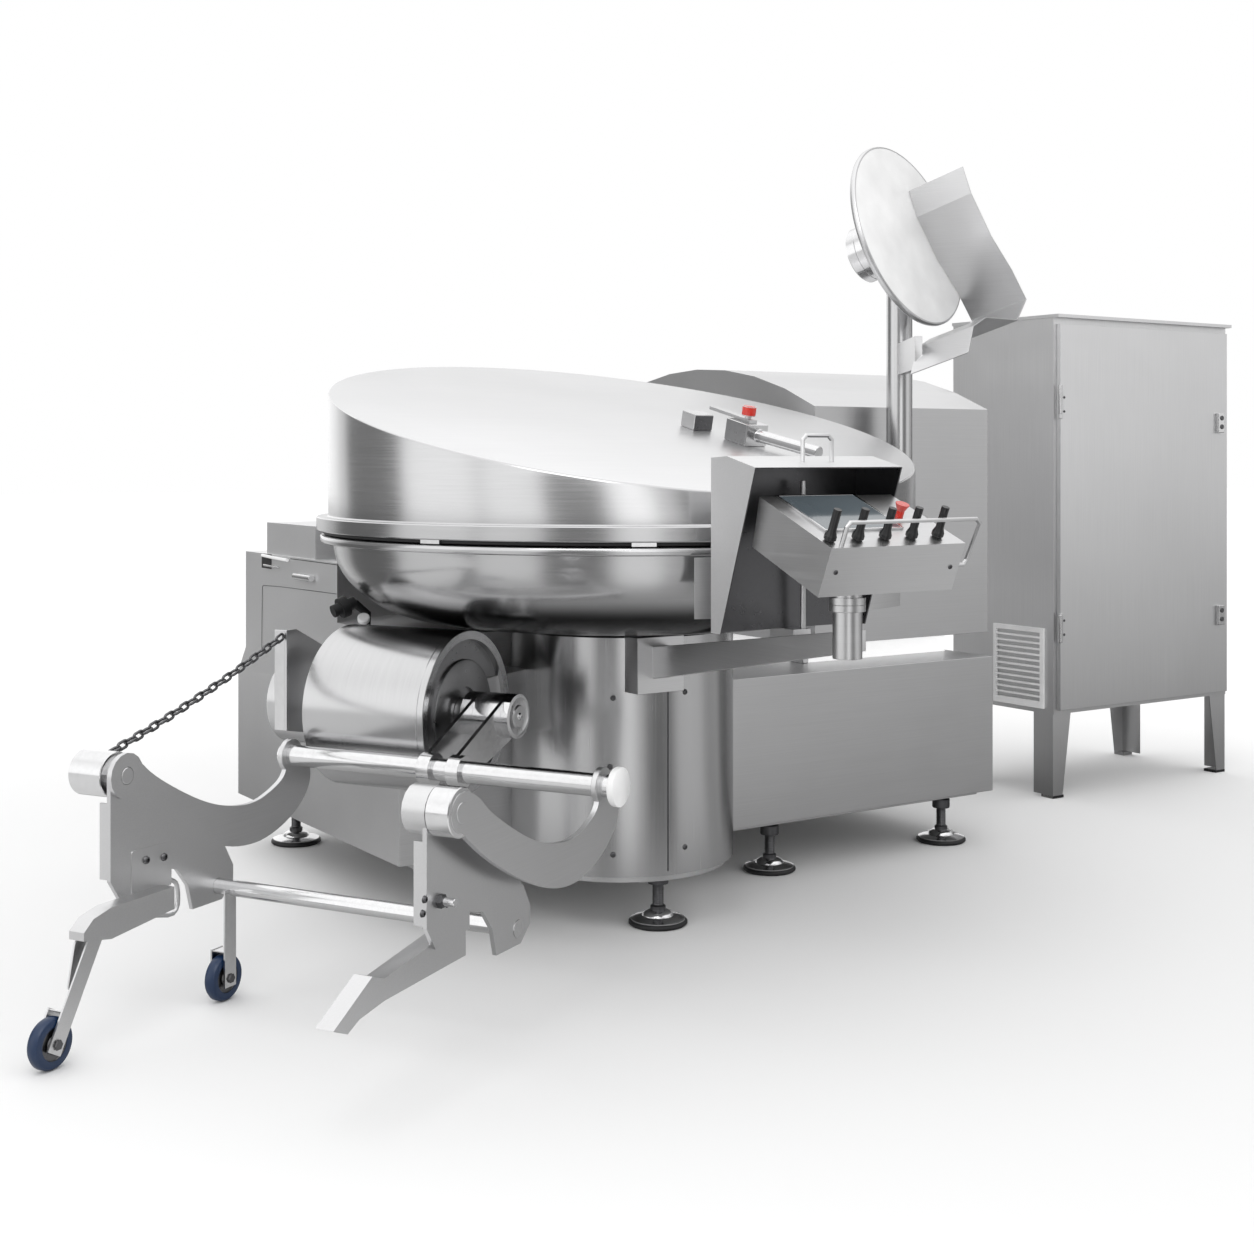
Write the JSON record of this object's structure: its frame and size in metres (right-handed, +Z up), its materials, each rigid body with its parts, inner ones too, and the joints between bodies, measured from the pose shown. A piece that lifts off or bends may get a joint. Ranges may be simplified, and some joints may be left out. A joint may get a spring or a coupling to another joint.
{
  "type": "meat bowl cutter",
  "caption": "Meat bowl cutter with a turning bowl, sloped lid, belt-driven knives, swivel console, unloading disc, bin loader and switch cabinet.",
  "frame": {"origin": "centre of the bounding box's footprint, on the floor", "axes": "+Z up, -Y to the operator's console side, -X to the bin loader, +X to the drive housing and the cabinet"},
  "size_m": [5.6448, 3.149, 2.5925],
  "materials": {
    "brushed_stainless": "brushed stainless sheet",
    "polished_stainless": "polished stainless",
    "motor_paint": "satin paint",
    "bearing_steel": "machined",
    "black_rubber": "matt",
    "black_plastic": "moulded, matt",
    "white_plastic": "moulded, satin",
    "red_plastic": "glossy",
    "blue_tyre": "blue elastic tyre",
    "screen_glass": "dark, glossy"
  },
  "bodies": {
    "machine_frame": {"base_plate": "brushed_stainless", "foot_front": "brushed_stainless", "foot_middle": "brushed_stainless", "foot_right": "brushed_stainless", "foot_left": "brushed_stainless", "foot_rear": "brushed_stainless", "column": "brushed_stainless", "bowl_bearing_ring": "bearing_steel", "lid_hinge_shaft": "brushed_stainless", "side_casing": "brushed_stainless", "lower_housing": "brushed_stainless", "upper_housing": "brushed_stainless", "knife_bearing": "bearing_steel", "knife_motor": "motor_paint", "drive_belt": "black_rubber", "console_arm": "brushed_stainless", "bowl_guard": "brushed_stainless", "unloader_bracket": "brushed_stainless", "loader_drum": "brushed_stainless", "guard_chain": "brushed_stainless", "pipe_union": "polished_stainless", "cabinet_body": "brushed_stainless", "cabinet_grille": "white_plastic"},
    "bowl": {"bowl": "polished_stainless"},
    "lid": {"lid": "brushed_stainless", "lid_seal": "black_rubber", "lid_clamp_block": "brushed_stainless", "latch_block": "brushed_stainless"},
    "latch_lever": {"latch_lever": "brushed_stainless"},
    "casing_latch": {"casing_latch": "polished_stainless"},
    "knife_head": {"knife_shaft": "bearing_steel", "knife_1": "polished_stainless", "knife_2": "polished_stainless", "knife_3": "polished_stainless", "knife_4": "polished_stainless", "shaft_pulley": "bearing_steel"},
    "motor_rotor": {"motor_pulley": "bearing_steel"},
    "console": {"console_body": "brushed_stainless", "touch_screen": "screen_glass"},
    "stop_button": {"stop_button": "red_plastic"},
    "splash_hood": {"splash_hood": "brushed_stainless"},
    "unloader_mast": {"unloader_mast": "polished_stainless", "unloader_chute": "brushed_stainless"},
    "unloader_disc": {"unloader_disc": "white_plastic"},
    "cabinet_door": {"cabinet_door": "brushed_stainless"},
    "cabinet_lock_1": {"cabinet_lock_1": "black_plastic"},
    "cabinet_lock_2": {"cabinet_lock_2": "black_plastic"},
    "lift_arm": {"lift_levers": "brushed_stainless", "lift_arm": "brushed_stainless", "tube_cap": "white_plastic"},
    "bin_cradle": {"hanger_left": "brushed_stainless", "hanger_right": "brushed_stainless", "cross_bar": "polished_stainless"},
    "front_wheel": {"front_wheel": "blue_tyre"},
    "rear_wheel": {"rear_wheel": "blue_tyre"},
    "joystick_1": {"joystick_1": "black_plastic"},
    "joystick_2": {"joystick_2": "black_plastic"},
    "joystick_3": {"joystick_3": "black_plastic"},
    "joystick_4": {"joystick_4": "black_plastic"},
    "joystick_5": {"joystick_5": "black_plastic"}
  },
  "joints": [
    {"name": "bowl_spin", "type": "hinge", "parent": "machine_frame", "child": "bowl", "pos_m": [-0.8236, -0.1155, 1.195], "axis": [0, 0, 1], "continuous": true},
    {"name": "lid_open", "type": "hinge", "parent": "machine_frame", "child": "lid", "pos_m": [-0.8236, 1.0045, 1.29], "axis": [-1, 0, 0], "range_deg": [0, 60]},
    {"name": "latch_turn", "type": "hinge", "parent": "lid", "child": "latch_lever", "pos_m": [-0.5536, -0.4155, 1.50852], "axis": [0, -0.2256, 0.9742], "range_deg": [-40, 60]},
    {"name": "casing_latch_slide", "type": "slide", "parent": "machine_frame", "child": "casing_latch", "axis": [0, 1, 0], "range_m": [0, 0.03]},
    {"name": "knife_spin", "type": "hinge", "parent": "machine_frame", "child": "knife_head", "pos_m": [-0.8936, 0.4445, 1.275], "axis": [1, 0, 0], "continuous": true},
    {"name": "motor_spin", "type": "hinge", "parent": "machine_frame", "child": "motor_rotor", "pos_m": [0.6964, 0.4445, 0.44], "axis": [1, 0, 0], "continuous": true},
    {"name": "console_swivel", "type": "hinge", "parent": "machine_frame", "child": "console", "pos_m": [-0.9636, -1.3855, 1.0853], "axis": [0, 0, 1], "range_deg": [-8, 8]},
    {"name": "joystick_1_tilt", "type": "hinge", "parent": "console", "child": "joystick_1", "pos_m": [-1.1386, -1.5203, 1.25932], "axis": [1, 0, 0], "range_deg": [-12, 8], "stiffness_Nm_per_rad": 2},
    {"name": "joystick_2_tilt", "type": "hinge", "parent": "console", "child": "joystick_2", "pos_m": [-1.0486, -1.5203, 1.25932], "axis": [1, 0, 0], "range_deg": [-12, 8], "stiffness_Nm_per_rad": 2},
    {"name": "joystick_3_tilt", "type": "hinge", "parent": "console", "child": "joystick_3", "pos_m": [-0.9586, -1.5203, 1.25932], "axis": [1, 0, 0], "range_deg": [-12, 8], "stiffness_Nm_per_rad": 2},
    {"name": "joystick_4_tilt", "type": "hinge", "parent": "console", "child": "joystick_4", "pos_m": [-0.8686, -1.5203, 1.25932], "axis": [1, 0, 0], "range_deg": [-12, 8], "stiffness_Nm_per_rad": 2},
    {"name": "joystick_5_tilt", "type": "hinge", "parent": "console", "child": "joystick_5", "pos_m": [-0.7786, -1.5203, 1.25932], "axis": [1, 0, 0], "range_deg": [-12, 8], "stiffness_Nm_per_rad": 2},
    {"name": "stop_press", "type": "slide", "parent": "console", "child": "stop_button", "axis": [0, 0.3886, -0.9214], "range_m": [0, 0.005], "stiffness_N_per_m": 600},
    {"name": "hood_lift", "type": "slide", "parent": "machine_frame", "child": "splash_hood", "axis": [0, 0, 1], "range_m": [0, 0.12]},
    {"name": "mast_lower", "type": "hinge", "parent": "machine_frame", "child": "unloader_mast", "pos_m": [0.4764, -0.0155, 1.41], "axis": [0, -1, 0], "range_deg": [0, 30]},
    {"name": "disc_spin", "type": "hinge", "parent": "unloader_mast", "child": "unloader_disc", "pos_m": [0.3839, -0.1591, 2.262], "axis": [0.2811, -0.9154, 0.2881], "continuous": true},
    {"name": "door_open", "type": "hinge", "parent": "machine_frame", "child": "cabinet_door", "pos_m": [1.6894, 0.3002, 0.36], "axis": [0, 0, -1], "range_deg": [0, 110]},
    {"name": "lock_1_turn", "type": "hinge", "parent": "cabinet_door", "child": "cabinet_lock_1", "pos_m": [2.7404, 0.3002, 0.734], "axis": [0, 1, 0], "range_deg": [0, 90]},
    {"name": "lock_2_turn", "type": "hinge", "parent": "cabinet_door", "child": "cabinet_lock_2", "pos_m": [2.7404, 0.3002, 1.618], "axis": [0, 1, 0], "range_deg": [0, 90]},
    {"name": "loader_lift", "type": "hinge", "parent": "machine_frame", "child": "lift_arm", "pos_m": [-1.48952, -0.32399, 0.715], "axis": [-0.5, 0.866, 0], "range_deg": [0, 45], "deforming": ["guard_chain"]},
    {"name": "cradle_pivot", "type": "hinge", "parent": "lift_arm", "child": "bin_cradle", "pos_m": [-2.54405, -0.4475, 0.66], "axis": [-0.5, 0.866, 0], "range_deg": [-45, 0]},
    {"name": "front_wheel_spin", "type": "hinge", "parent": "bin_cradle", "child": "front_wheel", "pos_m": [-2.76402, -0.5745, 0.0625], "axis": [0.5, -0.866, 0], "continuous": true},
    {"name": "rear_wheel_spin", "type": "hinge", "parent": "bin_cradle", "child": "rear_wheel", "pos_m": [-2.2346, -0.30348, 0.0625], "axis": [0.5, -0.866, 0], "continuous": true}
  ],
  "couplings": [
    {"joint": "cradle_pivot", "follows": "loader_lift", "ratio": -1},
    {"joint": "knife_spin", "follows": "motor_spin", "ratio": 1.3636}
  ]
}
